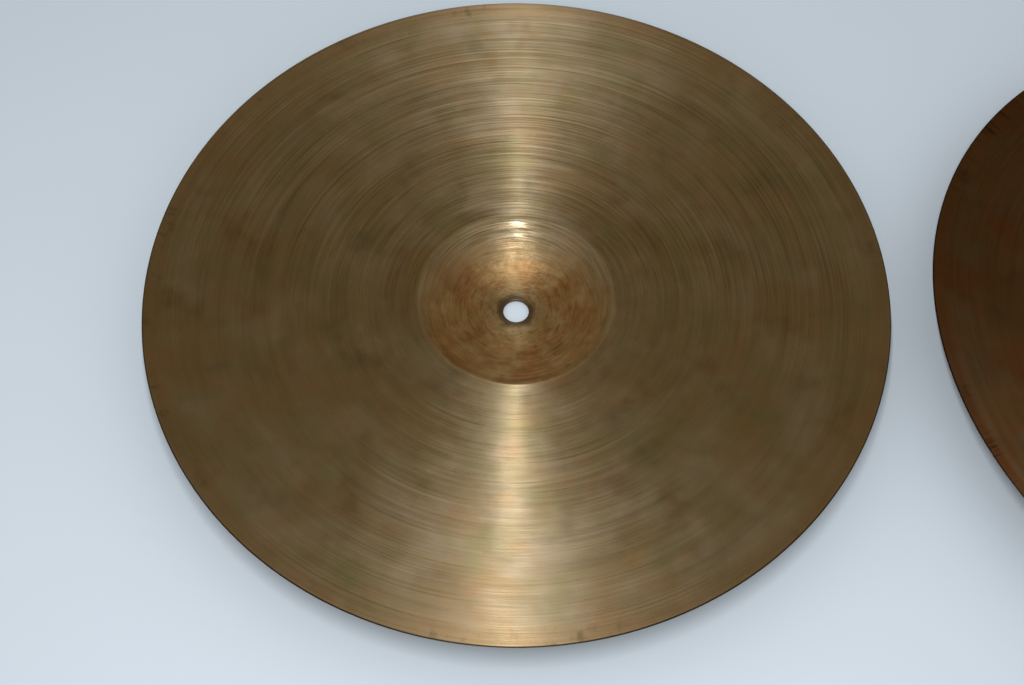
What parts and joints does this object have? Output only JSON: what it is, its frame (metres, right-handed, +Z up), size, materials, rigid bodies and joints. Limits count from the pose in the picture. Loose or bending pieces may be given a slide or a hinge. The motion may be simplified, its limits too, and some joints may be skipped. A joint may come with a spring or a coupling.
{
  "type": "pair of hand cymbals",
  "caption": "Two shallow bronze cymbal plates with round bells and strap holes, lying hollow side up; one turns over to clash rim to rim with the other.",
  "frame": {"origin": "on the surface that the plates lie on, midway between the centres of the two plates", "axes": "+Z up, out of the hollow faces; +X from the left plate's centre to the right plate's centre"},
  "size_m": [0.7322, 0.3556, 0.0303],
  "materials": {
    "turned_bronze": "lathe-turned, aged and unpolished, with fine rings and brown-green tarnish",
    "dark_bronze": "dark brown tarnished, smooth, with a rubbed rim"
  },
  "bodies": {
    "left_plate": {"left_plate": "turned_bronze"},
    "right_plate": {"right_plate": "dark_bronze"}
  },
  "joints": [
    {"name": "right_plate_turn", "type": "hinge", "parent": "left_plate", "child": "right_plate", "pos_m": [0, 0, 0.0307], "axis": [0, -1, 0], "range_deg": [0, 180]}
  ]
}
